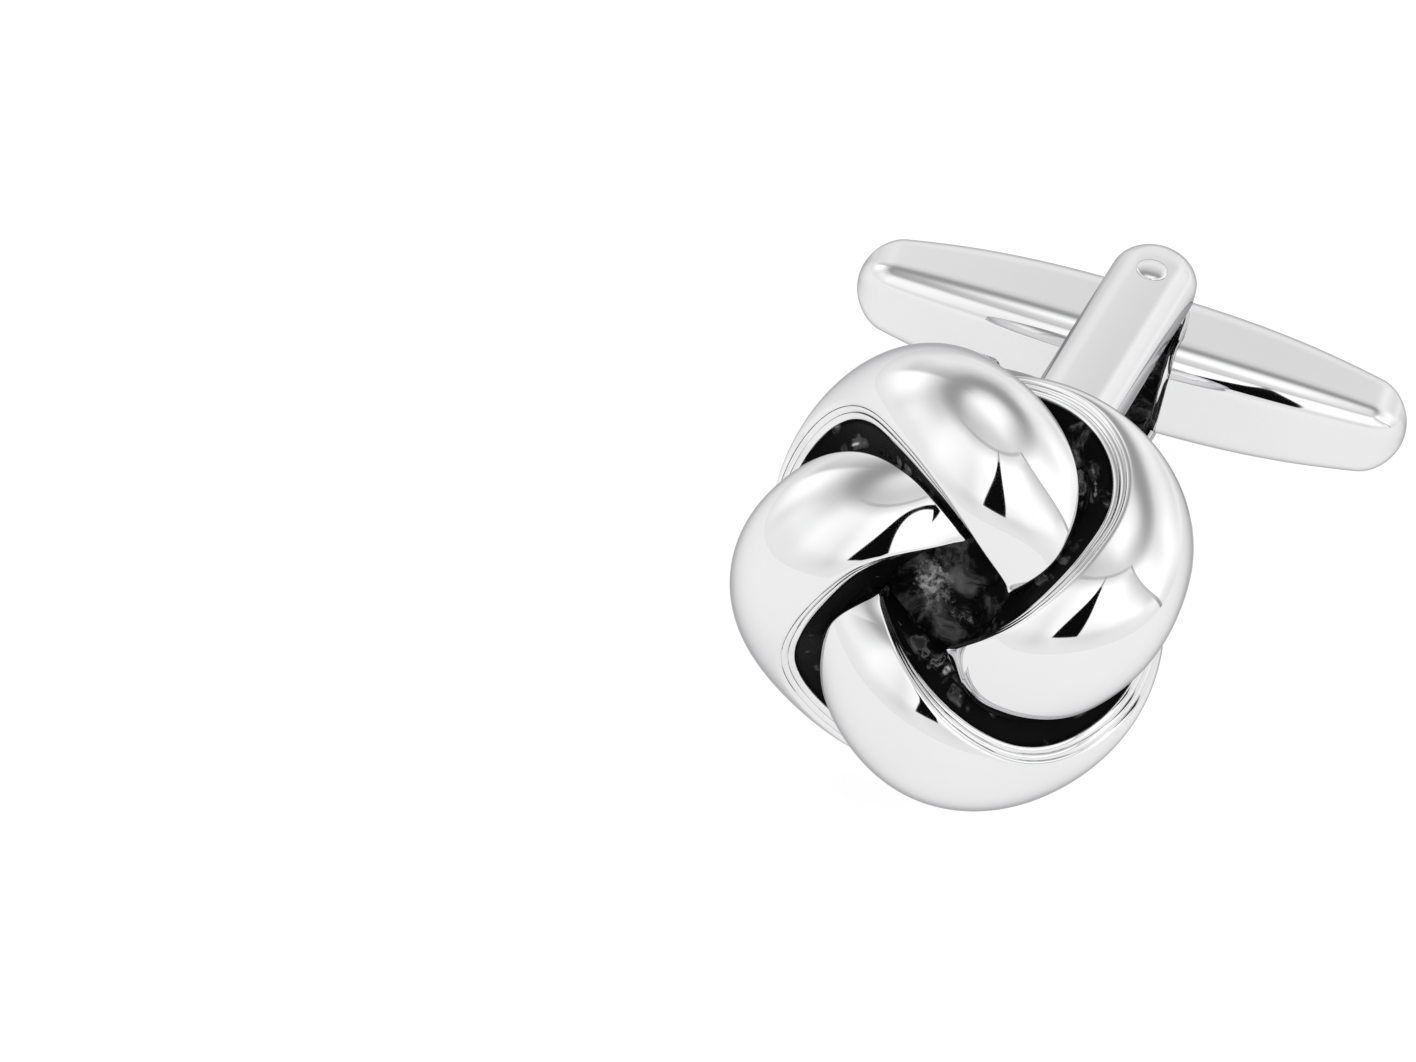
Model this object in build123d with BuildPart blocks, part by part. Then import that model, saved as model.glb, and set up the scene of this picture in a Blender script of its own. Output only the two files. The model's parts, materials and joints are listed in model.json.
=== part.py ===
from build123d import *
from collections import namedtuple
from math import asin, cos, degrees, radians, sin, sqrt
import os

# A knot cufflink with a swivelling whale-back closing, lying on a table.
# Millimetres. X runs along the toggle, -Y is the side that the knot faces, Z is up.
# The origin is on the table, under the middle of the cufflink.

# Knot: a ball of four domed bands that wind into a dark square recess.
knot_radius = 7.7
knot_rest_radius = 7.57
band_count = 4
band_wall = 1.1
edge_turn_share = 0.2
band_phase = 16.5
core_radius = 5.4
core_floor_rise = 0.12
core_rounding = 1.2
dome_radius = 7.25
dome_rim = 1.3
seat_depth = 6.4
seat_overlap = 0.2

# Yoke: a U of two arms that carries the toggle, soldered to the back of the knot.
yoke_height = 7.8
arm_wall = 1.5
arm_width = 3.1
arm_past_pin = 1.75
arm_rounding = 0.55
base_gap = 0.45
reach_to_knot = 18.4
lean_reach = 7.9

# Toggle: two tapering halves either side of a narrow neck.
toggle_length = 20.0
toggle_depth = 4.2
toggle_height = 3.9
toggle_swing = 7.0
corner_share = 0.28
shoulder_reach = 1.3
neck_depth = 2.6
neck_height = 3.0
neck_root = 0.3
barrel_radius = 1.2

# Hinge pin: runs through both arms and the toggle's barrel.
pin_radius = 0.5
pin_seat_gap = 0.01
pin_running_gap = 0.05
pin_head_radius = 0.75
pin_head_rise = 0.18
pin_head_taper = 50
pin_end_gap = 0.1
side_gap = 0.1

# Where the pin stands behind the origin, which centres the whole cufflink.
pin_back = 10.88

# Stations of one band from its pointed tip to its tail under the knot. Reach and rise are
# shares of knot_radius, and turn is degrees about the knot's axis from the tip. The crown
# is the distance from the knot's centre to the top of the band's arch.
Station = namedtuple(
    "Station", "inner_reach inner_turn inner_rise outer_reach outer_turn outer_rise crown"
)
band_stations = [
    Station(0.255, 2, 0.270, 0.275, -4, 0.262, 0.384),
    Station(0.253, 26, 0.345, 0.380, 10, 0.254, 0.525),
    Station(0.258, 53, 0.414, 0.514, 22, 0.236, 0.700),
    Station(0.338, 76, 0.412, 0.676, 36, 0.203, 0.840),
    Station(0.473, 95, 0.378, 0.795, 50, 0.151, 0.930),
    Station(0.669, 111, 0.311, 0.880, 64, 0.077, 0.985),
    Station(0.858, 126, 0.182, 0.942, 76, 0.000, 1.005),
    Station(0.925, 144, -0.014, 0.945, 84, -0.149, 1.010),
    Station(0.850, 156, -0.284, 0.870, 88, -0.365, 0.990),
    Station(0.640, 158, -0.570, 0.650, 90, -0.620, 0.935),
]

# Sections of one toggle half: reach is a share of half the toggle's length, depth and
# height are shares of its greatest depth and height.
Section = namedtuple("Section", "reach depth height")
toggle_sections = [
    Section(0.33, 0.98, 0.99),
    Section(0.50, 0.93, 0.96),
    Section(0.65, 0.84, 0.89),
    Section(0.80, 0.72, 0.80),
    Section(0.90, 0.63, 0.71),
    Section(0.95, 0.55, 0.63),
    Section(0.985, 0.42, 0.48),
    Section(1.00, 0.20, 0.22),
]

# The arms lie flat on the table, so the knot leans back on its yoke until it touches too.
pin_height = yoke_height / 2
knot_lean = degrees(asin((knot_rest_radius - pin_height) / lean_reach))
knot_centre = Vector(0, pin_back - reach_to_knot, knot_rest_radius)
knot_facing = Vector(0, -cos(radians(knot_lean)), sin(radians(knot_lean)))
knot_plane = Plane(origin=knot_centre, x_dir=(1, 0, 0), z_dir=knot_facing)
channel_half = pin_height - arm_wall
channel_depth = toggle_length / 2 + base_gap
dome_rim_radius = sqrt(dome_radius**2 - dome_rim**2)
seat_radius = sqrt(dome_radius**2 - seat_depth**2)
seat_low = knot_centre.Z - seat_depth * sin(radians(knot_lean)) - seat_radius * cos(radians(knot_lean))


def edge_point(reach, turn, rise):
    """A point on a band's edge, in the knot's own frame."""
    angle = radians(turn + band_phase)
    flat = knot_radius * reach
    return Vector(flat * cos(angle), flat * sin(angle), knot_radius * rise)


def band_section(station):
    """The arched wall across a band, on a plane through the knot's centre."""
    inner = edge_point(station.inner_reach, station.inner_turn, station.inner_rise)
    outer = edge_point(station.outer_reach, station.outer_turn, station.outer_rise)
    middle = (inner + outer) / 2
    outward = middle.normalized()
    crown = outward * (knot_radius * station.crown)
    across = outer - inner
    turned = min(band_wall / across.length, edge_turn_share)
    inside_inner = inner + across * turned - outward * band_wall
    inside_outer = outer - across * turned - outward * band_wall
    inside_crown = middle - outward * band_wall + (crown - middle) * (1 - 2 * turned)
    plane = Plane(origin=(0, 0, 0), x_dir=inner, z_dir=inner.cross(outer))
    outside = [plane.to_local_coords(point) for point in (inner, crown, outer)]
    inside = [plane.to_local_coords(point) for point in (inside_outer, inside_crown, inside_inner)]
    with BuildSketch(plane) as section:
        with BuildLine():
            ThreePointArc(*outside)
            Line(outside[2], inside[0])
            ThreePointArc(*inside)
            Line(inside[2], outside[0])
        make_face()
    return section.sketch


# One band, in the knot's own frame
with BuildPart() as band:
    loft(sections=[band_section(station) for station in band_stations])

# The knot's dark core and its closed back dome, with a flat seat for the yoke
core_front = knot_radius * core_floor_rise
with BuildPart() as core:
    with BuildSketch(Plane.XZ) as core_half:
        with BuildLine():
            Line((0, -seat_depth), (0, core_front))
            Line((0, core_front), (core_radius - core_rounding, core_front))
            Line((core_radius - core_rounding, core_front), (core_radius, core_front - core_rounding))
            Line((core_radius, core_front - core_rounding), (core_radius, -dome_rim))
            Line((core_radius, -dome_rim), (dome_rim_radius, -dome_rim))
            RadiusArc((dome_rim_radius, -dome_rim), (seat_radius, -seat_depth), dome_radius)
            Line((seat_radius, -seat_depth), (0, -seat_depth))
        make_face()
    revolve(axis=Axis.Z)

# Yoke: side profile of the channel with its slanted foot, trimmed to the arms' plan
def on_seat(height):
    """Distance from the pin to the knot's seat at a height above the table."""
    lean = radians(knot_lean)
    drop = height - knot_centre.Z
    return reach_to_knot - (seat_depth - seat_overlap + drop * sin(lean)) / cos(lean)


with BuildPart() as yoke:
    with BuildSketch(Plane.YZ) as yoke_side:
        with BuildLine():
            Polyline(
                (pin_back + arm_past_pin, 0),
                (pin_back + arm_past_pin, yoke_height),
                (pin_back - on_seat(yoke_height), yoke_height),
                (pin_back - on_seat(seat_low), seat_low),
                (pin_back - channel_depth - arm_wall, 0),
                close=True,
            )
        make_face()
        with Locations((pin_back - channel_depth, pin_height)):
            Rectangle(
                channel_depth + arm_width,
                2 * channel_half,
                align=(Align.MIN, Align.CENTER),
                mode=Mode.SUBTRACT,
            )
    extrude(amount=arm_width / 2, both=True)
    with BuildSketch(Plane.XY) as yoke_plan:
        with Locations((0, pin_back + arm_past_pin - arm_width / 2)):
            Circle(arm_width / 2)
            Rectangle(arm_width, reach_to_knot, align=(Align.CENTER, Align.MAX))
    extrude(amount=yoke_height, mode=Mode.INTERSECT)
    outer_faces = yoke.faces().filter_by(Axis.Z)
    outline = outer_faces.sort_by(Axis.Z)[0].edges() + outer_faces.sort_by(Axis.Z)[-1].edges()
    fillet(outline.filter_by(lambda edge: edge.center().Y > pin_back - channel_depth), arm_rounding)

# The knot and its yoke are one soldered piece
with BuildPart() as knot_with_yoke:
    with Locations(knot_plane):
        add(core.part)
        with PolarLocations(0, band_count):
            add(band.part)
    add(yoke.part)
    pin_hole = pin_radius + pin_seat_gap
    with Locations((0, pin_back, pin_height)):
        Cylinder(pin_hole, yoke_height + pin_radius, mode=Mode.SUBTRACT)
knot_with_yoke.part.label = "knot_with_yoke"

# Toggle, square to the post first, then swung about the pin as it lies
toggle_plane = Plane(origin=(0, pin_back, pin_height)).rotated((0, 0, toggle_swing))


def toggle_section(half_length, section):
    """A rounded square across one half of the toggle."""
    middle = (half_length * section.reach, 0, 0)
    plane = toggle_plane * Plane(origin=middle, x_dir=(0, 1, 0), z_dir=(1, 0, 0))
    depth = toggle_depth * section.depth
    height = toggle_height * section.height
    with BuildSketch(plane) as outline:
        RectangleRounded(depth, height, min(depth, height) * corner_share)
    return outline.sketch


shoulder = Section(2 * shoulder_reach / toggle_length, 1, 1)
with BuildPart() as toggle:
    with Locations(toggle_plane):
        Box(2 * (shoulder_reach + neck_root), neck_depth, neck_height)
    for half_length in (-toggle_length / 2, toggle_length / 2):
        half_sections = [toggle_section(half_length, section) for section in [shoulder] + toggle_sections]
        loft(sections=half_sections, ruled=True)
    with Locations(toggle_plane):
        Cylinder(barrel_radius, 2 * (channel_half - side_gap))
        Cylinder(pin_radius + pin_running_gap, yoke_height, mode=Mode.SUBTRACT)
toggle.part.label = "toggle"

# Hinge pin: a low domed head outside the upper arm, its other end just inside the lower one
pin_bottom = Plane.XY.offset(pin_end_gap).move(Location((0, pin_back, 0)))
pin_top = Plane.XY.offset(yoke_height).move(Location((0, pin_back, 0)))
with BuildPart() as hinge_pin:
    with BuildSketch(pin_bottom):
        Circle(pin_radius)
    extrude(amount=yoke_height - pin_end_gap)
    with BuildSketch(pin_top):
        Circle(pin_head_radius)
    extrude(amount=pin_head_rise, taper=pin_head_taper)
hinge_pin.part.label = "hinge_pin"

os.makedirs("parts", exist_ok=True)
for piece in (knot_with_yoke, toggle, hinge_pin):
    export_step(piece.part, f"parts/{piece.part.label}.step")
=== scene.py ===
import json
import math

import bmesh
import bpy
import numpy as np
from mathutils import Matrix, Vector


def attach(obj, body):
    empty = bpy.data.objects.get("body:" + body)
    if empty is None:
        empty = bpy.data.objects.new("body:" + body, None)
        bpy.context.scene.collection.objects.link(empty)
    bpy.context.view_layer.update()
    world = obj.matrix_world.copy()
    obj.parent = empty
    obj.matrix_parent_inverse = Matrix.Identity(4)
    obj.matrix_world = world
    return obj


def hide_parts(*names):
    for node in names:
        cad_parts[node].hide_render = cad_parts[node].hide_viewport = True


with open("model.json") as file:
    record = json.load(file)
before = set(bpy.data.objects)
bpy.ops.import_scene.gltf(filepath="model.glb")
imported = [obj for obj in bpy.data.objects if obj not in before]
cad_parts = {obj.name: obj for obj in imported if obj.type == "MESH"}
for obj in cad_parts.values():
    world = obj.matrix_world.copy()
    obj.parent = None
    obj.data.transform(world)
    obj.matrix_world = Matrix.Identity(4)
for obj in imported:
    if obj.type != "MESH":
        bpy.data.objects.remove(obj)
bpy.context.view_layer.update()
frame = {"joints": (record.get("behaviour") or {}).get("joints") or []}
mm = 0.001
tiny = 0.001 * mm
# The pin's middle, which the yoke and the toggle share
pinX, pinY, pinZ = frame["joints"][0]["pos_m"]
print("frame loaded")

# Camera: a long lens at the photograph's angle to the cufflink
photoCamera = {
    "yaw": 14.69,           # degrees from +Y towards -X
    "elevation": 40.42,
    "roll": 11.67,
    "aim": (-8.99 * mm, -7.26 * mm, 5.0 * mm),
    "distance": 279.8 * mm,
    "sensor": 36.0,
    "lens": 211.5,
    "nearest": 0.01,        # what the camera sees, in metres from it
    "farthest": 10,
}


def addCamera(spec):
    # Forward comes from yaw and elevation; the level right and up vectors are then turned by the roll
    yaw, elevation, roll = (math.radians(spec[key]) for key in ("yaw", "elevation", "roll"))
    level = math.cos(elevation)
    forward = Vector((-math.sin(yaw) * level, math.cos(yaw) * level, -math.sin(elevation)))
    flatRight = forward.cross(Vector((0, 0, 1))).normalized()
    flatUp = flatRight.cross(forward)
    right = flatRight * math.cos(roll) + flatUp * math.sin(roll)
    up = right.cross(forward)
    data = bpy.data.cameras.new("photoCamera")
    data.lens = spec["lens"]
    data.sensor_width = spec["sensor"]
    data.clip_start = spec["nearest"]
    data.clip_end = spec["farthest"]
    camera = bpy.data.objects.new("photoCamera", data)
    turn = Matrix((right, up, -forward)).transposed().to_4x4()
    camera.matrix_world = Matrix.Translation(Vector(spec["aim"]) - forward * spec["distance"]) @ turn
    bpy.context.scene.collection.objects.link(camera)
    bpy.context.scene.camera = camera


addCamera(photoCamera)
print("camera placed")


def smoothRows(rows, count):
    # Natural cubic through evenly spaced rows: the second slopes solve one banded set of equations,
    # and each span is the usual cubic of its two ends
    rows = np.asarray(rows, float)
    total = len(rows)
    bands = np.eye(total) * 4 + np.eye(total, k=1) + np.eye(total, k=-1)
    bands[0], bands[-1] = np.eye(total)[0], np.eye(total)[-1]
    bends = np.zeros_like(rows)
    bends[1:-1] = 6 * (rows[:-2] - 2 * rows[1:-1] + rows[2:])
    slopes = np.linalg.solve(bands, bends)
    place = np.linspace(0, total - 1, count)
    first = np.minimum(place.astype(int), total - 2)
    after = (place - first)[:, None]
    before = 1 - after
    return (before * rows[first] + after * rows[first + 1]
            + (before**3 - before) * slopes[first] / 6 + (after**3 - after) * slopes[first + 1] / 6)


def unit(vectors):
    # Each vector divided by its own length
    return vectors / np.linalg.norm(vectors, axis=-1, keepdims=True)


def gridSurface(points, wrapAlong=False, wrapAcross=False, capStart=False, capEnd=False, patina=0.0):
    # points[i, j] is a grid; each cell is a quad, and a cap is a fan round the middle of an end row
    along, across = points.shape[:2]
    flat = points.reshape(-1, 3)
    shade = np.broadcast_to(np.asarray(patina, float), (along, across)).reshape(-1)
    i = np.arange(along if wrapAlong else along - 1)[:, None]
    j = np.arange(across if wrapAcross else across - 1)[None, :]
    nextI, nextJ = (i + 1) % along, (j + 1) % across
    corners = [a * across + b for a, b in ((i, j), (nextI, j), (nextI, nextJ), (i, nextJ))]
    faces = np.stack([np.broadcast_to(c, (i.size, j.size)) for c in corners], -1).reshape(-1, 4).tolist()
    for use, row in ((capStart, 0), (capEnd, along - 1)):
        if use:
            ring = row * across + np.arange(across)
            turned = np.roll(ring, -1)
            faces += [[int(a), int(b), len(flat)] for a, b in zip(ring, turned)]
            flat = np.vstack([flat, points[row].mean(0)])
            shade = np.append(shade, shade[ring].min())
    return flat, faces, shade


def addPiece(name, surfaces, material, body, nodes):
    # Joins surfaces into one mesh, merges what coincides, turns the faces outwards and smooths them
    offset, points, faces, shade = 0, [], [], []
    for flat, cells, patina in surfaces:
        points.append(flat)
        shade.append(patina)
        faces += [[corner + offset for corner in cell] for cell in cells]
        offset += len(flat)
    mesh = bpy.data.meshes.new(name)
    mesh.from_pydata(np.vstack(points), [], faces)
    patinaAndShadeLayer = mesh.attributes.new("patina", "FLOAT", "POINT")
    patinaAndShadeLayer.data.foreach_set("value", np.concatenate(shade).astype(np.float32))
    work = bmesh.new()
    work.from_mesh(mesh)
    bmesh.ops.remove_doubles(work, verts=work.verts, dist=0.4 * tiny)
    bmesh.ops.dissolve_degenerate(work, edges=work.edges, dist=0.2 * tiny)
    bmesh.ops.recalc_face_normals(work, faces=work.faces)
    work.to_mesh(mesh)
    work.free()
    mesh.shade_smooth()
    mesh.materials.append(material)
    piece = bpy.data.objects.new(name, mesh)
    bpy.context.scene.collection.objects.link(piece)
    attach(piece, body)
    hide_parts(*nodes)
    print("made", name, len(mesh.polygons), "faces")
    return piece


class Value:
    # A node's output socket: arithmetic on it adds Math nodes
    def __init__(self, shader, socket):
        self.shader, self.socket = shader, socket

    def math(self, operation, first, second):
        return self.shader.math(operation, first, second)

    def __add__(self, other):
        return self.math("ADD", self, other)

    def __radd__(self, other):
        return self.math("ADD", other, self)

    def __sub__(self, other):
        return self.math("SUBTRACT", self, other)

    def __rsub__(self, other):
        return self.math("SUBTRACT", other, self)

    def __mul__(self, other):
        return self.math("MULTIPLY", self, other)

    def __rmul__(self, other):
        return self.math("MULTIPLY", other, self)

    def __truediv__(self, other):
        return self.math("DIVIDE", self, other)


class Shader:
    # One node tree. Every node comes from the method node: its type, settings, sockets and output
    def __init__(self, owner):
        owner.use_nodes = True
        self.tree = owner.node_tree
        self.tree.nodes.clear()

    def node(self, kind, settings=None, sockets=None, output=0):
        made = self.tree.nodes.new(kind)
        for key, value in (settings or {}).items():
            setattr(made, key, value)
        for key, value in (sockets or {}).items():
            if isinstance(value, Value):
                self.tree.links.new(value.socket, made.inputs[key])
            else:
                made.inputs[key].default_value = value
        return Value(self, made.outputs[output]) if made.outputs else None

    def math(self, operation, first, second=0.0):
        return self.node("ShaderNodeMath", {"operation": operation}, {0: first, 1: second})

    def smooth(self, value, low, high, start=0.0, end=1.0):
        # Rises smoothly from start to end as value goes from low to high
        return self.node("ShaderNodeMapRange", {"interpolation_type": "SMOOTHSTEP"},
                         {0: value, 1: low, 2: high, 3: start, 4: end})

    def noise(self, place, scale, detail, rough, warp):
        # Fractal noise from 0 to 1
        return self.node("ShaderNodeTexNoise", None, {
            "Vector": place, "Scale": scale, "Detail": detail, "Roughness": rough, "Distortion": warp})

    def grey(self, value):
        # A colour with one value in all three channels
        return self.node("ShaderNodeCombineColor", None, {0: value, 1: value, 2: value})

    def blend(self, share, first, second):
        # The first colour where the share is 0 and the second where it is 1
        return self.node("ShaderNodeMix", {"data_type": "RGBA"}, {0: share, 6: first, 7: second}, 2)


# Plating: bright rhodium-like metal, blackened and left rough where the patina-and-shade attribute says:
# real patina on the knot, painted shade between the arms on the yoke and the toggle
plating = {
    "bright": (0.79, 0.79, 0.795, 1),
    "dull": (0.74, 0.74, 0.75, 1),
    "black": (0.004, 0.004, 0.0042, 1),
    "cloud": (0.15, 0.15, 0.152, 1),
    "worn": (0.42, 0.42, 0.42, 1),
    "grazing": (0.45, 0.45, 0.46, 1),    # how much the metal still reflects near its outline
    "specular": 0.05,
    "brightRough": 0.03,
    "smudgeRough": 0.03,
    "blackRough": 0.24,
    "blackRoughSpread": 0.30,
    "wornRough": 0.32,
    "dullShare": 0.35,
    "raggedness": 0.9,                   # how far the noise moves the black's edge
    # Noises: scale, detail, roughness and distortion
    "smudgeNoise": (260.0, 3.0, 0.5, 0.0),
    "wipeNoise": (2600.0, 4.0, 0.6, 0.0),
    "edgeNoise": (3600.0, 5.0, 0.7, 0.0),
    "grainNoise": (1500.0, 6.0, 0.65, 0.6),
    "speckNoise": (420.0, 5.0, 0.6, 1.2),
    "cloudNoise": (900.0, 5.0, 0.68, 0.8),
    # Ramps: where each begins and where it is full
    "smudgeRamp": (0.35, 0.7),
    "blackRamp": (0.32, 0.6),
    "bareRamp": (0.1, 0.4),
    "speckRamp": (0.58, 0.72),
    "grainRamp": (0.42, 0.66),
    "cloudRamp": (0.42, 0.72),
    "cloudyRamp": (0.98, 0.88),          # clouds show only where the patina is a little thinner
    # Heights that the bump node reads, its strength and its depth
    "wipeHeight": 0.02,
    "smudgeHeight": 0.1,
    "blackHeight": 6.0,
    "bump": 0.25,
    "bumpDepth": 0.02 * mm,
}


def makePlating(name, spec, shift, patinaAndShadeUsed=True):
    # Polish varies by broad smudges and fine wipe marks. The patina-and-shade attribute mixes in black
    # enamel with grey clouds and worn specks, along a ragged edge, and leaves the metal beside it dull and
    # rough; on the yoke and toggle this black is painted shade.
    material = bpy.data.materials.new(name)
    s = Shader(material)
    place = s.node("ShaderNodeTexCoord", None, None, 3)
    place = s.node("ShaderNodeMapping", None, {"Vector": place, "Location": (shift, 2 * shift, 0)})
    smudge = s.smooth(s.noise(place, *spec["smudgeNoise"]), *spec["smudgeRamp"])
    wipe = s.noise(place, *spec["wipeNoise"])
    rough = spec["brightRough"] + spec["smudgeRough"] * smudge * wipe
    colour = s.blend(smudge * spec["dullShare"], spec["bright"], spec["dull"])
    metal = 1.0
    height = wipe * spec["wipeHeight"] + smudge * spec["smudgeHeight"]
    if patinaAndShadeUsed:
        # The attribute is real patina on the knot, and painted shade on the yoke's inner faces and round
        # the toggle's neck and barrel
        patina = s.node("ShaderNodeAttribute", {"attribute_name": "patina"}, None, 2)
        edge = (s.noise(place, *spec["edgeNoise"]) - 0.5) * spec["raggedness"]
        black = s.smooth(patina + edge, *spec["blackRamp"])
        bare = s.smooth(patina, *spec["bareRamp"])
        grain = s.noise(place, *spec["grainNoise"])
        speck = s.smooth(s.noise(place, *spec["speckNoise"]), *spec["speckRamp"])
        speck = speck * s.smooth(grain, *spec["grainRamp"])
        cloud = s.smooth(s.noise(place, *spec["cloudNoise"]), *spec["cloudRamp"])
        cloud = cloud * s.smooth(patina, *spec["cloudyRamp"])
        blackColour = s.blend(speck, s.blend(cloud, spec["black"], spec["cloud"]), spec["worn"])
        blackRough = spec["blackRough"] + spec["blackRoughSpread"] * grain
        bareRough = rough + spec["wornRough"] * bare
        colour = s.blend(black, s.blend(bare, colour, spec["worn"]), blackColour)
        rough = bareRough * (1 - black) + blackRough * black
        metal = 1 - black * (1 - speck)
        height = height * (1 - black) + (grain + speck) * black * spec["blackHeight"]
    bump = s.node("ShaderNodeBump", None,
                  {"Strength": spec["bump"], "Distance": spec["bumpDepth"], "Height": height})
    shader = s.node("ShaderNodeBsdfPrincipled", None,
                    {"Base Color": colour, "Roughness": rough, "Metallic": metal, "Normal": bump,
                     "Specular IOR Level": spec["specular"], "Specular Tint": spec["grazing"]})
    s.node("ShaderNodeOutputMaterial", None, {"Surface": shader})
    return material


# Each slot's patterns are shifted in metres, so that they differ
knotPlating = makePlating("knotPlating", plating, shift=0.013)
togglePlating = makePlating("togglePlating", plating, shift=0.031)
pinMetal = makePlating("pinMetal", plating, shift=0.047, patinaAndShadeUsed=False)
print("materials made")

# Knot: four arched bands round a dark recess, in the knot's own frame, where z is the way that it faces
knot = {
    "radius": 7.7 * mm,
    "restRadius": 7.57 * mm,             # height of its middle above the table
    "leanReach": 7.9 * mm,               # from its middle to the pin's height, along its axis
    "reachToPin": 18.4 * mm,
    "bandCount": 4,
    "phase": 16.5,
    "alongSteps": 240,
    "archSteps": 56,
    "cornerSteps": 4,
    "wallSteps": 9,
    "flattest": 0.03,                    # least height of an arch as a share of its width
    "narrowest": 0.20,                   # most that the rounding and the undercut may take of its width
    "edgeRound": 0.09 * mm,
    "groove": 0.035 * mm,                # depth of the fine dark lines along the lip
    "grooveShare": 0.3,                  # most that a groove may take of the undercut
    "undercut": 0.10 * mm,               # how far the dark wall lies inside the lip
    "lip": (0.34 * mm, 0.60 * mm),       # height of the bright strip below each edge, from tip to tail
    "lipStations": (2, 7),
    "wall": (1.8 * mm, 2.3 * mm),        # depth of the dark walls, from tip to tail
    "wallStations": (0, 3),
    "axisStations": 5,                   # the walls fall along the axis at the tip and inwards from here
    "flare": 0.26 * mm,                  # how far the outer lip slopes out near the tip
    "flareStations": (0, 0.2, 1.6, 3.5),
    "flareShares": (0.3, 1, 1, 0),
    "mouthShift": (-0.10 * mm, -0.29 * mm),
    "mouthBase": 0.2,                    # share of the shift that the knot's middle has
    "tipStations": 3,                    # where a tip's own shift ends
    # How the fine lines come and go: least share, contrast, and scales along and across
    "lineLeast": 0.35,
    "lineContrast": 2.2,
    "lineScales": (2.3, 0.9),
    "lineSeed": 9,
    # Streaks in the walls' black: noise scales along and down, its share and its seed
    "streakNoises": ((1.3, 6.0, 1.0, 0), (7.0, 3.0, 0.6, 20)),
    "streakRamp": (3.0, 0.35),           # slope and start
    "streakFoot": (3.0, 0.4),            # the same, for the way down the wall
    "streakDepth": 0.75,
}
# Own shift of each tip, in x and y
tipShifts = [
    (0.12 * mm, 0.07 * mm),
    (0.78 * mm, -0.12 * mm),
    (-0.05 * mm, -0.28 * mm),
    (0.10 * mm, 0.12 * mm),
]
# Reach, rise and crown, the top of the arch, are shares of the radius. Turn is degrees from the tip
bandStations = [
    # innerReach, innerTurn, innerRise, outerReach, outerTurn, outerRise, crown
    (0.262, 3, 0.332, 0.267, 1, 0.331, 0.426),
    (0.250, 29, 0.392, 0.391, 11, 0.362, 0.496),
    (0.295, 58, 0.455, 0.540, 21, 0.340, 0.602),
    (0.413, 82, 0.480, 0.696, 37, 0.252, 0.745),
    (0.567, 98, 0.452, 0.803, 52, 0.194, 0.868),
    (0.742, 110, 0.351, 0.869, 66, 0.117, 0.973),
    (0.887, 122, 0.160, 0.921, 80, 0.027, 1.018),
    (0.938, 143, -0.038, 0.927, 86, -0.138, 1.018),
    (0.885, 172, -0.040, 0.863, 88, -0.363, 0.968),
    (0.800, 188, -0.220, 0.650, 90, -0.620, 0.900),
]
# Points down a lip, with two dark grooves and a dark foot
lipRows = [
    # fallen (share of the lip), setBack (in groove depths), darkness
    (0.10, 0.0, 0.0),
    (0.14, 1.0, 0.9),
    (0.18, 0.0, 0.0),
    (0.52, 0.1, 0.0),
    (0.56, 1.0, 0.7),
    (0.60, 0.1, 0.0),
    (0.94, 0.3, 0.0),
    (1.00, 1.0, 0.9),
]

lean = math.asin((knot["restRadius"] - pinZ) / knot["leanReach"])
knotCentre = np.array([0, pinY - knot["reachToPin"], knot["restRadius"]])
knotAxes = np.array([
    [1, 0, 0],
    [0, math.sin(lean), math.cos(lean)],
    [0, -math.cos(lean), math.sin(lean)],
])


def fromKnot(points):
    # From the knot's own frame to the row frame
    return points @ knotAxes + knotCentre


def edgeCurve(reach, turn, rise, phase):
    # Cylinder coordinates, in shares of the radius, made x, y and z
    angle = np.radians(turn + phase)
    return knot["radius"] * np.stack([reach * np.cos(angle), reach * np.sin(angle), rise], -1)


def softNoise(x, y, scale, seed):
    # Random heights on a square lattice, blended smoothly between its corners
    size = 64
    lattice = np.random.default_rng(seed).random((size, size)) - 0.5
    u, v = x / scale + size / 2, y / scale + size / 2
    i, j = np.floor(u).astype(int) % (size - 1), np.floor(v).astype(int) % (size - 1)
    a, b = u - np.floor(u), v - np.floor(v)
    a, b = a * a * (3 - 2 * a), b * b * (3 - 2 * b)
    return ((lattice[i, j] * (1 - a) + lattice[i + 1, j] * a) * (1 - b)
            + (lattice[i, j + 1] * (1 - a) + lattice[i + 1, j + 1] * a) * b)


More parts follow.
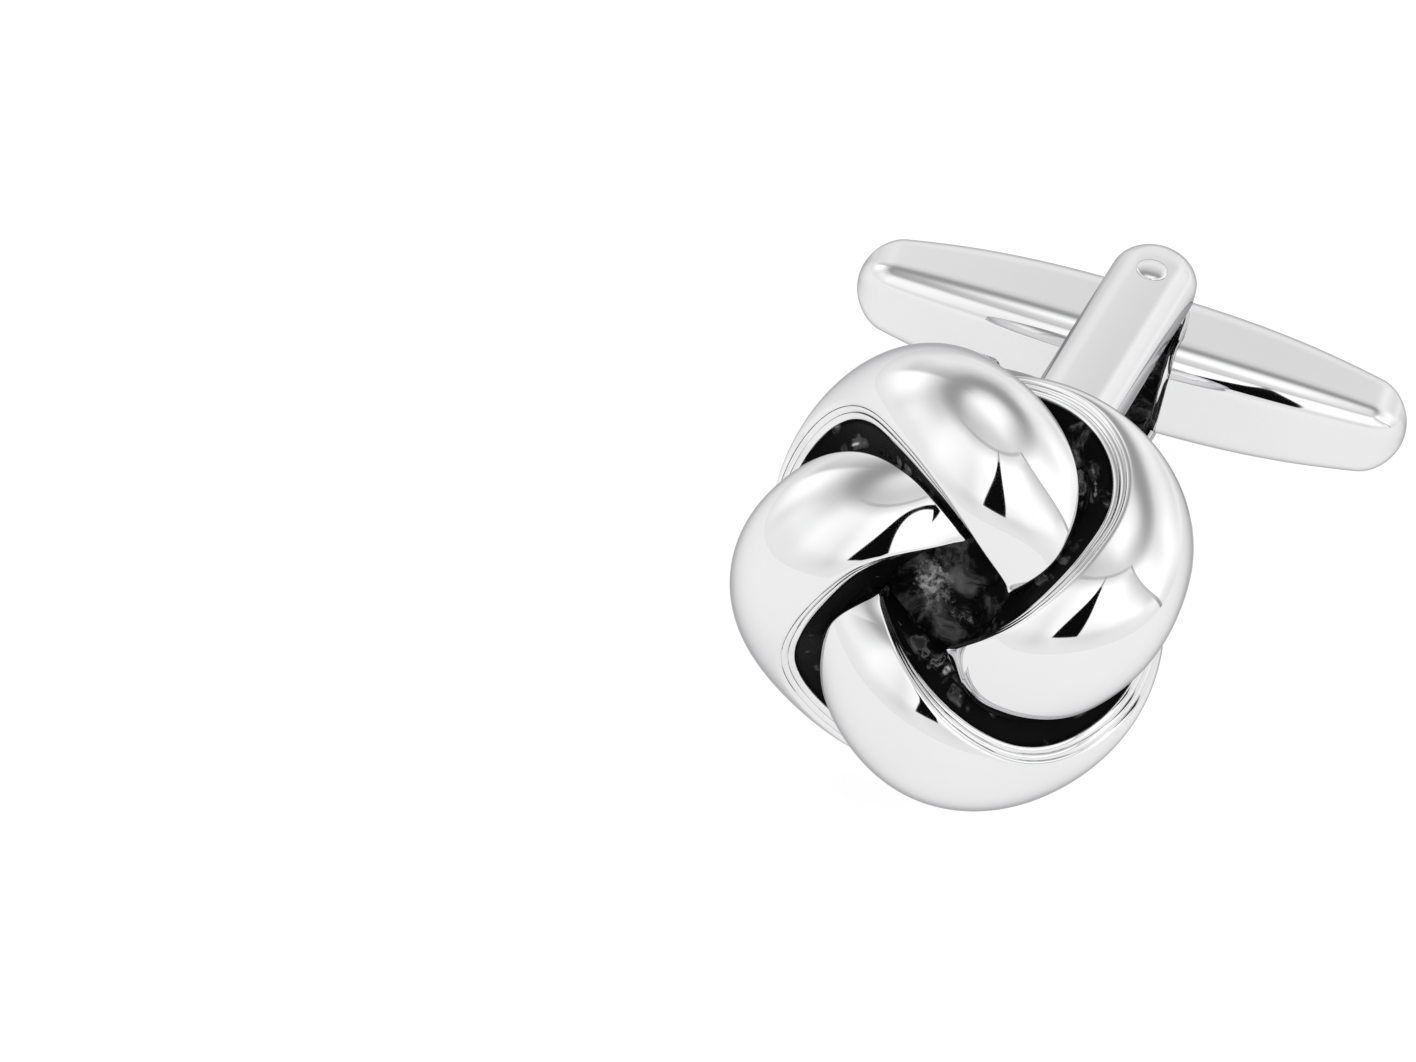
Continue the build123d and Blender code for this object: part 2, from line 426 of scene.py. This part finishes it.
def bandSurface(spec, number):
    # At each station a circle runs from the inner edge over the crown to the outer edge. The edges are
    # rounded by short Bezier arcs, drop in as a bright lip with fine grooves, then step to a dark wall.
    # The hand-made knot isn't quite even: its mouth lies off the middle and each tip has its own shift.
    steps = spec["alongSteps"]
    rows = smoothRows(bandStations, steps)
    phase = spec["phase"] + number * 360 / spec["bandCount"]
    place = np.linspace(0, len(bandStations) - 1, steps)
    inner = edgeCurve(rows[:, 0], rows[:, 1], rows[:, 2], phase)
    outer = edgeCurve(rows[:, 3], rows[:, 4], rows[:, 5], phase)
    middle = (inner + outer) / 2
    across = unit(outer - inner)
    width = np.linalg.norm(outer - inner, axis=1)
    outward = unit(middle)
    upward = unit(outward - across * (outward * across).sum(1, keepdims=True))
    crown = outward * (spec["radius"] * rows[:, 6:7]) - middle
    crownAcross = (crown * across).sum(1)
    crownUp = np.maximum((crown * upward).sum(1), spec["flattest"] * width)
    drop = (crownAcross**2 + crownUp**2 - width**2 / 4) / (2 * crownUp)
    curve = np.sqrt(width**2 / 4 + drop**2)
    halfTurn = np.arctan2(width / 2, -drop)
    most = spec["narrowest"] * width
    rounding = np.minimum(spec["edgeRound"], most)
    undercut = np.minimum(spec["undercut"], most)

    share = np.linspace(-1, 1, spec["archSteps"])[None, :]
    angle = share * (halfTurn - rounding / curve)[:, None]
    archX = curve[:, None] * np.sin(angle)
    archY = drop[:, None] + curve[:, None] * np.cos(angle)
    arch = middle[:, None] + across[:, None] * archX[..., None] + upward[:, None] * archY[..., None]

    # The walls fall along the knot's axis at the tip and towards the knot's middle further on
    toAxis = np.clip(1 - place / spec["axisStations"], 0, 1)[:, None]
    inward = -unit(outward * (1 - toAxis) + np.array([0, 0, 1]) * toAxis)
    wall = np.interp(place, spec["wallStations"], spec["wall"])
    lip = np.interp(place, spec["lipStations"], spec["lip"])
    flare = spec["flare"] * np.interp(place, spec["flareStations"], spec["flareShares"])
    groove = np.minimum(spec["groove"], spec["grooveShare"] * undercut)
    corner = (np.arange(1, spec["cornerSteps"] + 1) / spec["cornerSteps"])[None, :, None]
    fallen, setBack, darkness = np.array(lipRows).T
    fall = np.linspace(0, 1, spec["wallSteps"])

    def edge(side, start, foot, slope):
        # From the arch's end round the corner, down the lip and down the dark wall on one side
        start, foot, back = start[:, None], foot[:, None], -side * across[:, None]
        down = inward[:, None]
        cornerPoints = ((1 - corner)**2 * start + 2 * corner * (1 - corner) * foot
                        + corner**2 * (foot + down * rounding[:, None, None]))
        lipDepth = rounding[:, None] + lip[:, None] * fallen
        lipBack = groove[:, None] * setBack - slope[:, None] * fallen
        lipPoints = foot + down * lipDepth[..., None] + back * lipBack[..., None]
        wallDepth = (rounding + lip)[:, None] * (1 - fall) + wall[:, None] * fall
        wallBack = undercut[:, None] * (1 + fall) - slope[:, None]
        wallPoints = foot + down * wallDepth[..., None] + back * wallBack[..., None]
        return np.hstack([cornerPoints, lipPoints, wallPoints])

    right = edge(1, arch[:, -1], outer, flare)
    left = edge(-1, arch[:, 0], inner, np.zeros_like(flare))
    fade = np.clip(1 - place / spec["tipStations"], 0, 1)
    fade = (fade**2 * (3 - 2 * fade))[:, None]
    tipShift = np.array([*tipShifts[number], 0])
    points = np.hstack([arch, right, left[:, ::-1]]) + (tipShift * fade)[:, None]

    # The lines on the lips come and go
    lineAlong, lineAcross = spec["lineScales"]
    lineNoise = softNoise(place[:, None] * lineAlong, np.arange(len(fallen))[None, :] * lineAcross, 1.0,
                          spec["lineSeed"] + number)
    lineShare = np.clip(0.5 + spec["lineContrast"] * lineNoise, 0, 1)
    lines = darkness * (spec["lineLeast"] + (1 - spec["lineLeast"]) * lineShare)
    # Long streaks where the black is thin, towards the foot of each wall
    streak = 0
    for along, down, part, seed in spec["streakNoises"]:
        noise = softNoise(place[:, None] * along, fall[None, :] * down, 1.0, number + seed)
        streak = streak + part * noise
    slope, start = spec["streakRamp"]
    footSlope, footStart = spec["streakFoot"]
    streak = np.clip(streak * slope - start, 0, 1) * np.clip(footSlope * fall - footStart, 0, 1)
    wallPatina = np.hstack([np.zeros((steps, corner.size)), lines, 1 - spec["streakDepth"] * streak])
    patina = np.hstack([np.zeros((steps, spec["archSteps"])), wallPatina, wallPatina[:, ::-1]])
    points = fromKnot(mouth(spec, points))
    return gridSurface(points, wrapAcross=True, capStart=True, capEnd=True, patina=patina)


def mouth(spec, points):
    # Slides a point sideways by its height over the knot's middle
    share = np.clip(points[..., 2:] / spec["radius"] + spec["mouthBase"], 0, 1)
    return points + share * np.array([*spec["mouthShift"], 0])


for number in range(knot["bandCount"]):
    addPiece(f"knotBand{number + 1}", [bandSurface(knot, number)],
             knotPlating, "post_body", ["knot_with_yoke"])


def turnedSurface(profile, count):
    # A profile of reach and height turned once round the z axis
    angle = np.arange(count) * 2 * np.pi / count
    reach, height = np.asarray(profile, float).T
    return np.stack([reach[None] * np.cos(angle)[:, None], reach[None] * np.sin(angle)[:, None],
                     np.broadcast_to(height, (count, len(height)))], -1)


# Recess: the rough dark floor between the bands, and the black body under them
recess = {
    "reach": 5.4 * mm,
    "floor": 0.92 * mm,
    "edge": 1.2 * mm,
    "foot": -1.4 * mm,
    "around": 180,
    "ringSteps": 60,
    "ringPower": 0.8,           # under 1, so that the rings lie closer towards the edge
    "relief": 0.16 * mm,
    # Noises of the relief: size, share and seed
    "reliefNoises": ((0.55 * mm, 1.0, 3), (0.21 * mm, 0.45, 5)),
    # Places where the black has worn off: x, y and radius
    "worn": (
        (-1.1 * mm, 0.2 * mm, 1.1 * mm),
        (-0.5 * mm, -0.9 * mm, 1.0 * mm),
        (0.8 * mm, -1.2 * mm, 0.6 * mm),
    ),
    "wornDepth": 0.30,
    "wornSpread": 1.3,          # where a place fades out, in its own radii
    "floorPatina": 0.88,        # the floor is less evenly black than the walls
}
# Back: the polished dome that closes the knot, flat where the yoke is soldered on
back = {
    "radius": 7.25 * mm,
    "reach": 6.95 * mm,         # it is a little narrower than deep
    "rim": -1.3 * mm,
    "seat": -6.4 * mm,
    "around": 160,
    "steps": 40,
    "seatRings": (0.98, 0.5, 0),
}


def recessSurface(spec):
    # A floor disc with two scales of soft noise, a bevel and a plain side
    ring = np.linspace(0, 1, spec["ringSteps"])**spec["ringPower"] * (spec["reach"] - spec["edge"])
    profile = [(r, spec["floor"]) for r in ring]
    profile += [(spec["reach"], spec["floor"] - spec["edge"]), (spec["reach"], spec["foot"])]
    points = turnedSurface(profile, spec["around"])
    x, y = points[..., 0], points[..., 1]
    inside = np.hypot(x, y) < spec["reach"] - 0.5 * spec["edge"]
    relief = sum(share * softNoise(x, y, size, seed) for size, share, seed in spec["reliefNoises"])
    points[..., 2] += np.where(inside, relief * spec["relief"], 0)
    patina = np.full_like(x, spec["floorPatina"])
    for middleX, middleY, radius in spec["worn"]:
        near = np.clip(spec["wornSpread"] - np.hypot(x - middleX, y - middleY) / radius, 0, 1)
        patina -= spec["wornDepth"] * near * inside
    return gridSurface(fromKnot(points), wrapAlong=True, patina=patina)


def backSurface(spec):
    # A shelf from the recess to the rim, an arc of an ellipse down to the seat, then flat to the middle
    start = math.asin(-spec["rim"] / spec["radius"])
    end = math.asin(-spec["seat"] / spec["radius"])
    angle = np.linspace(start, end, spec["steps"])
    profile = [(recess["reach"], spec["rim"])]
    profile += [(spec["reach"] * math.cos(a), -spec["radius"] * math.sin(a)) for a in angle]
    profile += [(profile[-1][0] * share, spec["seat"]) for share in spec["seatRings"]]
    return gridSurface(fromKnot(turnedSurface(profile, spec["around"])), wrapAlong=True)


addPiece("knotRecess", [recessSurface(recess)], knotPlating, "post_body", ["knot_with_yoke"])
addPiece("knotBack", [backSurface(back)], knotPlating, "post_body", ["knot_with_yoke"])

# Yoke: two arms with rounded ends on a foot that is soldered to the back of the knot
yoke = {
    "height": 7.8 * mm,
    "wall": 1.5 * mm,
    "width": 3.1 * mm,
    "pastPin": 2.2 * mm,
    "channelDepth": 10.45 * mm,  # from the pin's middle to the channel's floor
    "outerRound": 0.9 * mm,
    "innerRound": 0.12 * mm,
    "crown": 0.17 * mm,          # how much lower an arm's outer face lies at its edges
    "armOverlap": 0.3 * mm,
    "seatOverlap": 0.2 * mm,
    "armSteps": 60,
    "endSteps": 48,
    "footSteps": 24,
    "sectionSteps": 9,
    "innerPatina": 0.75,         # painted shade on the inner faces, between the arms
    "innerWidth": 0.75,          # and the share of their width that it covers
}


def roundedSection(halfWidth, thickness, outerRound, innerRound, steps):
    # Right half of a section, from the middle of its outer face to the middle of its inner face
    quarter = np.linspace(0, np.pi / 2, steps)
    flat = np.linspace(0, 1, steps)[:-1]
    outerFlat, innerFlat = halfWidth - outerRound, halfWidth - innerRound
    outerX = np.r_[outerFlat * flat, outerFlat + outerRound * np.sin(quarter)]
    outerY = np.r_[np.full(len(flat), thickness), thickness - outerRound + outerRound * np.cos(quarter)]
    innerX = np.r_[innerFlat + innerRound * np.cos(quarter), innerFlat * flat[::-1]]
    innerY = np.r_[innerRound - innerRound * np.sin(quarter), np.zeros(len(flat))]
    return np.r_[outerX, innerX], np.r_[outerY, innerY]


def squareRing(halfDepth, halfHeight, corner, steps):
    # Rounded squares, one for each row: four quarter circles joined by straight sides
    quarter = np.linspace(0, np.pi / 2, steps)
    side = np.linspace(0, 1, steps)[1:-1]
    rings = []
    for turn, (signY, signZ) in enumerate(((1, 1), (-1, 1), (-1, -1), (1, -1))):
        angle = quarter + turn * np.pi / 2
        y = signY * (halfDepth - corner)[:, None] + corner[:, None] * np.cos(angle)
        z = signZ * (halfHeight - corner)[:, None] + corner[:, None] * np.sin(angle)
        rings.append((y, z))
    parts = []
    for (y, z), (nextY, nextZ) in zip(rings, rings[1:] + rings[:1]):
        sideY = y[:, -1:] * (1 - side) + nextY[:, :1] * side
        sideZ = z[:, -1:] * (1 - side) + nextZ[:, :1] * side
        parts += [(y, z), (sideY, sideZ)]
    return np.hstack([y for y, z in parts]), np.hstack([z for y, z in parts])


def yokeSurfaces(spec):
    # Each arm is its section carried along y and turned half round at the end. The foot is a rounded
    # square carried from the arms into the knot, with its lower side rising to the seat.
    endY = pinY + spec["pastPin"] - spec["width"] / 2
    floorY = pinY - spec["channelDepth"]
    halfWidth = spec["width"] / 2
    steps = spec["sectionSteps"]
    x, depth = roundedSection(halfWidth, spec["wall"], spec["outerRound"], spec["innerRound"], steps)
    # The outer face is slightly crowned: lower by the square of its distance from the middle
    depth = depth - spec["crown"] * (x / halfWidth)**2 * depth / spec["wall"]
    # Painted shade: the inner faces between the arms are darkened through the patina-and-shade attribute
    inside = spec["innerPatina"] * (depth < tiny) * (x < spec["innerWidth"] * halfWidth)
    y = np.linspace(endY, floorY - spec["armOverlap"], spec["armSteps"])[:, None]
    angle = np.linspace(0, np.pi, spec["endSteps"])[:, None]
    surfaces = []
    # Height of an arm's inner face, and the way that its outer face looks
    for base, sign in ((spec["height"] - spec["wall"], 1), (spec["wall"], -1)):
        loopX = np.r_[x, -x[::-1]]
        loopZ = base + sign * np.r_[depth, depth[::-1]]
        arm = np.dstack(np.broadcast_arrays(loopX[None, :], y, loopZ[None, :]))
        surfaces.append(gridSurface(arm, wrapAcross=True, capEnd=True, patina=np.r_[inside, inside[::-1]]))
        end = np.dstack([x * np.cos(angle), endY + x * np.sin(angle),
                         np.broadcast_to(base + sign * depth, (spec["endSteps"], len(x)))])
        surfaces.append(gridSurface(end, patina=inside))

    # The foot's lower side rises from the heel to the lowest point of the seat on the knot's back
    seatReach = -back["seat"] - spec["seatOverlap"]
    seatRadius = back["reach"] * math.cos(math.asin(back["seat"] / back["radius"]))
    seatLow = knotCentre[2] + back["seat"] * math.sin(lean) - seatRadius * math.cos(lean)
    seatY = knotCentre[1] + (seatReach + (seatLow - knotCentre[2]) * math.sin(lean)) / math.cos(lean)
    heelY = floorY - spec["wall"]
    turn = np.linspace(0, np.pi / 2, steps)
    soft = spec["innerRound"]
    y = np.r_[floorY - soft * (1 - np.cos(turn)), np.linspace(heelY, seatY, spec["footSteps"])]
    inset = np.r_[soft * (1 - np.sin(turn)), np.zeros(spec["footSteps"])]
    low = np.interp(-y, [-heelY, -seatY], [0, seatLow])
    halfHeight = (spec["height"] - low) / 2 - inset
    halfDepth = halfWidth - inset
    acrossX, upZ = squareRing(halfDepth, halfHeight, np.full(len(y), spec["outerRound"]), steps)
    upZ = upZ + ((spec["height"] + low) / 2)[:, None]
    foot = np.dstack([acrossX, np.broadcast_to(y[:, None], acrossX.shape), upZ])
    surfaces.append(gridSurface(foot, wrapAcross=True, capStart=True, capEnd=True))
    return surfaces


addPiece("yokeFrame", yokeSurfaces(yoke), knotPlating, "post_body", ["knot_with_yoke"])

# Toggle: two tapering halves with rounded square sections, a neck between them and a barrel round the pin
toggle = {
    "length": 20.0 * mm,
    "depth": 4.2 * mm,
    "height": 3.9 * mm,
    "swing": 7.0,               # degrees about the pin, as it lies
    "shoulder": 1.3 * mm,
    "shoulderRound": 0.3 * mm,
    "neckDepth": 2.6 * mm,
    "neckHeight": 3.0 * mm,
    "barrelRadius": 1.2 * mm,
    "barrelHeight": 4.6 * mm,
    "cornerShare": 0.28,
    "taperDepth": 0.48,         # shares of depth and height that are gone at the ends
    "taperHeight": 0.37,
    "taperPower": 2.5,
    "endStart": 0.87,           # where along a half its round end begins
    "endPower": 2.2,
    "endCorner": 0.18,          # how much rounder the corners get at the ends
    "innerPatina": 0.85,        # painted shade round the neck and the barrel, between the arms
    "alongSteps": 110,
    "sideSteps": 12,
    "barrelRound": 0.1 * mm,
    "barrelAround": 96,
}
# Half the neck: where each ring stands, in shares of the shoulder's reach, and how far it has grown
# from the neck's section to the shoulder's
neckRows = [
    # place, growth
    (0.0, 0.0),
    (0.9, 0.0),
    (1.0, 0.04),
    (1.0, 0.5),
]


def toggleSurfaces(spec):
    # Depth and height fall with a power of the distance along, times a superellipse that closes the end
    half = spec["length"] / 2
    ease = np.linspace(0, 1, spec["alongSteps"])
    reach = spec["shoulder"] / half + (1 - spec["shoulder"] / half) * np.sin(ease * np.pi / 2)
    reach[-1] = 1.0
    closing = np.clip((reach - spec["endStart"]) / (1 - spec["endStart"]), 0, 1)
    closing = (1 - closing**spec["endPower"])**(1 / spec["endPower"])
    halfDepth = spec["depth"] / 2 * (1 - spec["taperDepth"] * reach**spec["taperPower"]) * closing
    halfHeight = spec["height"] / 2 * (1 - spec["taperHeight"] * reach**spec["taperPower"]) * closing
    fillet = np.clip(1 - (reach * half - spec["shoulder"]) / spec["shoulderRound"], 0, 1)
    inset = spec["shoulderRound"] * (1 - np.sqrt(1 - fillet**2))
    halfDepth, halfHeight = halfDepth - inset, halfHeight - inset
    neckPlace, grow = np.array(neckRows).T
    neckX = neckPlace * spec["shoulder"]
    neckDepth = spec["neckDepth"] / 2 * (1 - grow) + halfDepth[0] * grow
    neckHeight = spec["neckHeight"] / 2 * (1 - grow) + halfHeight[0] * grow
    x = np.r_[neckX, reach * half]
    halfDepth, halfHeight = np.r_[neckDepth, halfDepth], np.r_[neckHeight, halfHeight]
    x = np.r_[-x[::-1], x]
    halfDepth, halfHeight = np.r_[halfDepth[::-1], halfDepth], np.r_[halfHeight[::-1], halfHeight]
    roundness = np.r_[np.zeros(len(neckX)), 1 - closing]
    roundness = np.r_[roundness[::-1], roundness]
    corner = 2 * (spec["cornerShare"] + spec["endCorner"] * roundness) * np.minimum(halfDepth, halfHeight)
    y, z = squareRing(halfDepth, halfHeight, corner, spec["sideSteps"])
    bar = np.dstack([np.broadcast_to(x[:, None], y.shape), y, z])
    # Painted shade: the neck and the barrel, between the arms, are darkened through the patina-and-shade
    # attribute
    patina = spec["innerPatina"] * (np.abs(x) < spec["shoulder"] + tiny)
    top = spec["barrelHeight"] / 2
    soft = spec["barrelRound"]
    side = spec["barrelRadius"]
    barrel = turnedSurface([(0, -top), (side - soft, -top), (side, soft - top), (side, top - soft),
                            (side - soft, top), (0, top)], spec["barrelAround"])
    turn = np.radians(spec["swing"])
    spin = np.array([
        [math.cos(turn), math.sin(turn), 0],
        [-math.sin(turn), math.cos(turn), 0],
        [0, 0, 1],
    ])
    middle = np.array([pinX, pinY, pinZ])
    return [gridSurface(bar @ spin + middle, wrapAcross=True, patina=patina[:, None]),
            gridSurface(barrel @ spin + middle, wrapAlong=True, patina=spec["innerPatina"])]


addPiece("toggleBar", toggleSurfaces(toggle), togglePlating, "toggle_body", ["toggle"])

# Pin: a shank through both arms with a low rounded head on the upper one
pin = {
    "radius": 0.5 * mm,
    "bottom": 0.1 * mm,
    "headRadius": 0.56 * mm,
    "headRise": 0.13 * mm,
    "around": 96,
    "headSteps": 24,
}


def pinSurface(spec):
    # The head's top is a quarter ellipse from the middle down to its rim
    top = yoke["height"]
    angle = np.linspace(0, np.pi / 2, spec["headSteps"])
    profile = [(0, spec["bottom"]), (spec["radius"], spec["bottom"]), (spec["radius"], top)]
    profile += [(spec["headRadius"], top)]
    profile += [(spec["headRadius"] * math.cos(a), top + spec["headRise"] * math.sin(a)) for a in angle[1:]]
    profile[-1] = (0, profile[-1][1])
    points = turnedSurface(profile, spec["around"]) + np.array([pinX, pinY, 0])
    return gridSurface(points, wrapAlong=True)


addPiece("rivetPin", [pinSurface(pin)], pinMetal, "post_body", ["hinge_pin"])
print("pieces made")

# Floor: a wide pale sheet, lit a little from below as on a light table
floorSheet = {
    "size": 4.0,
    "shade": (0.3, 0.3, 0.3, 1),
    "glow": 0.80,
}


def addFloor(spec):
    # One square face of rough paper that glows
    half = spec["size"] / 2
    corners = [(-half, -half, 0), (half, -half, 0), (half, half, 0), (-half, half, 0)]
    mesh = bpy.data.meshes.new("floorSheet")
    mesh.from_pydata(corners, [], [(0, 1, 2, 3)])
    floor = bpy.data.objects.new("floorSheet", mesh)
    material = bpy.data.materials.new("floorPaper")
    s = Shader(material)
    shader = s.node("ShaderNodeBsdfPrincipled", None, {
        "Base Color": spec["shade"], "Roughness": 1.0, "Specular IOR Level": 0.0,
        "Emission Color": (1, 1, 1, 1), "Emission Strength": spec["glow"]})
    s.node("ShaderNodeOutputMaterial", None, {"Surface": shader})
    mesh.materials.append(material)
    bpy.context.scene.collection.objects.link(floor)


addFloor(floorSheet)

# Tent: a white studio tent with a greyer low wall and back wall, a grey round top, a seam and one dark
# opening. Azimuths are degrees from -Y towards +X and elevations are degrees above the floor. A ramp
# runs between two of them, and from 0 to 1 unless two values follow.
tent = {
    "white": 1.24,
    "cloth": (1.7, 0.0, 0.5, 0.5),       # noise of the broad folds: scale, detail, roughness, distortion
    "clothTall": 0.35,                   # under 1, so that the folds hang upright
    "clothDepth": 0.75,
    "clothFoot": (0.0, 16.0),
    "lineCore": 0.4,                     # share of a line's half width at which it is full
}
lowWall = {
    "shade": 1.0,
    "height": (-60.0, 10.0, 11.0, 15.0),  # elevation of its top, by azimuth, in front
    "fall": (100.0, 150.0, 0.0, 18.0),    # and how far it falls on the right
    "softLeft": (-60.0, 10.0, 13.0, 4.0),
    "softRight": (60.0, 130.0, 0.0, 8.0),
}
backWall = {
    "shade": 1.05,
    "left": (-112.0, -120.0),            # a crisp fold
    "right": (150.0, 178.0),             # a soft one
    "foot": (2.0, 24.0),
    "head": (78.0, 62.0),
    "foldDepth": 0.3,
    "foldNear": (-112.0, -116.0),
    "foldFar": (-145.0, -118.0),
}
roundTop = {
    "shade": 0.40,
    "side": (-0.5, 0.87),                # the way, in x and y, in which it is greyest
    "sideRamp": (-0.45, 0.35),
    "sideLeast": 0.5,
    "rim": (47.0, 61.0),
    "zenith": (84.0, 61.0),
    "shadowBelow": (26.0, 60.0),
    "shadowAbove": (74.0, 60.0),
    "shadowDepth": 0.8,
    "lineElevation": 59.0,
    "lineHalfWidth": 1.8,
    "lineLeft": (-60.0, -10.0),
    "lineRight": (72.0, 55.0),
    "lineDepth": 0.4,
}
opening = {
    "shade": 0.004,
    "azimuth": 11.0,
    "low": 14.0,
    "high": 51.0,
    "peak": 60.0,                        # where the gusset over it ends
    "peakSoft": 1.0,
    "halfWide": 8.5,
    "pointHalfWide": 0.3,
    "soft": 1.0,
    "tilt": 0.25,                        # degrees of azimuth for each degree of elevation
}
seam = {
    "shade": 0.30,
    "path": (-20.0, 62.0, 104.0, 66.0),  # its azimuth by elevation
    "halfWidth": 2.2,
    "foot": (-20.0, 0.0),
    "head": (60.0, 58.0),
    "depth": 0.8,
    "panelShade": 0.72,                  # the grey panel on its left
    "panelDepth": 0.9,
    "panelLeft": (-26.0, 0.0),
    "panelRight": (1.0, 0.0),
    "panelFoot": (8.0, 20.0),
    "panelHead": (60.0, 50.0),
}


def addTent():
    # Shade from azimuth and elevation: each part is blended over the last by a product of smooth ramps
    world = bpy.data.worlds.new("studioTent")
    bpy.context.scene.world = world
    s = Shader(world)
    way = s.node("ShaderNodeTexCoord", None, None, 0)
    x, y, z = (s.node("ShaderNodeSeparateXYZ", None, {0: way}, axis) for axis in range(3))
    degree = 180 / math.pi
    azimuth = s.math("ARCTAN2", x, y * -1.0) * degree
    elevation = s.math("ARCSINE", z) * degree

    def ramp(angle, spec, key):
        return s.smooth(angle, *spec[key])

    def line(offset, halfWidth):
        # One on a line and none past its half width
        return s.smooth(s.math("ABSOLUTE", offset), halfWidth, halfWidth * tent["lineCore"])

    # The low wall is low in front and to the right, and below the floor on the left
    wallTop = ramp(azimuth, lowWall, "height") - ramp(azimuth, lowWall, "fall")
    softness = ramp(azimuth, lowWall, "softLeft") + ramp(azimuth, lowWall, "softRight")
    upper = s.smooth((elevation - wallTop) / softness, -1.0, 1.0)
    light = lowWall["shade"] + (tent["white"] - lowWall["shade"]) * upper

    # Folds of the cloth: broad soft streaks that hang down the walls
    stretched = s.node("ShaderNodeMapping", None, {"Vector": way, "Scale": (1.0, 1.0, tent["clothTall"])})
    fold = s.noise(stretched, *tent["cloth"]) - 0.5
    light = light * (1 + tent["clothDepth"] * fold * ramp(elevation, tent, "clothFoot"))

    # The back wall is greyer, with a shadow inside its left fold
    backShare = ramp(azimuth, backWall, "left") + ramp(azimuth, backWall, "right")
    backShare = backShare * ramp(elevation, backWall, "foot") * ramp(elevation, backWall, "head")
    foldShare = ramp(azimuth, backWall, "foldNear") * ramp(azimuth, backWall, "foldFar")
    backShade = backWall["shade"] - backWall["foldDepth"] * foldShare
    light = light + (backShade - light) * backShare

    # The grey top is lightest at the zenith. Its rim has a soft shadow on both sides, which is darkest
    # at the back on the left, and a thin line on the side of the opening
    sideX, sideY = roundTop["side"]
    side = ramp(x * sideX + y * sideY, roundTop, "sideRamp")
    topShare = ramp(elevation, roundTop, "rim") * ramp(elevation, roundTop, "zenith")
    topShare = topShare * (roundTop["sideLeast"] + (1 - roundTop["sideLeast"]) * side)
    light = light + (roundTop["shade"] - light) * topShare
    shadow = ramp(elevation, roundTop, "shadowBelow") * ramp(elevation, roundTop, "shadowAbove") * side
    light = light + (roundTop["shade"] - light) * shadow * roundTop["shadowDepth"]
    rimShare = line(elevation - roundTop["lineElevation"], roundTop["lineHalfWidth"])
    rimShare = rimShare * ramp(azimuth, roundTop, "lineRight") * ramp(azimuth, roundTop, "lineLeft")
    light = light + (seam["shade"] - light) * rimShare * roundTop["lineDepth"]

    # The opening leans and narrows upwards, with a grey gusset that ends in a point above it
    low, high, peak, soft = (opening[key] for key in ("low", "high", "peak", "soft"))
    across = azimuth - opening["azimuth"] - (elevation - low) * opening["tilt"]
    halfWide = s.smooth(elevation, low, peak, opening["halfWide"], opening["pointHalfWide"])
    inWide = s.smooth(s.math("ABSOLUTE", across) - halfWide, soft, 0.0)
    aboveLow = s.smooth(elevation, low - soft, low)
    belowPeak = s.smooth(elevation, peak, peak - opening["peakSoft"])
    belowHigh = s.smooth(elevation, high + soft, high)
    light = light + (roundTop["shade"] - light) * inWide * aboveLow * belowPeak
    light = light + (opening["shade"] - light) * inWide * aboveLow * belowHigh

    # The seam is a thin grey line that bends forward as it rises, with a grey panel on its left
    offset = azimuth - ramp(elevation, seam, "path")
    seamShare = line(offset, seam["halfWidth"]) * ramp(elevation, seam, "foot")
    seamShare = seamShare * ramp(elevation, seam, "head")
    light = light + (seam["shade"] - light) * seamShare * seam["depth"]
    panel = ramp(offset, seam, "panelLeft") * ramp(offset, seam, "panelRight")
    panel = panel * ramp(elevation, seam, "panelHead") * ramp(elevation, seam, "panelFoot")
    light = light + (seam["panelShade"] - light) * panel * seam["panelDepth"]
    surface = s.node("ShaderNodeBackground", None, {"Color": s.grey(light), "Strength": 1.0})
    s.node("ShaderNodeOutputWorld", None, {"Surface": surface})


addTent()
bpy.context.scene.view_settings.view_transform = "Standard"
print("studio made")
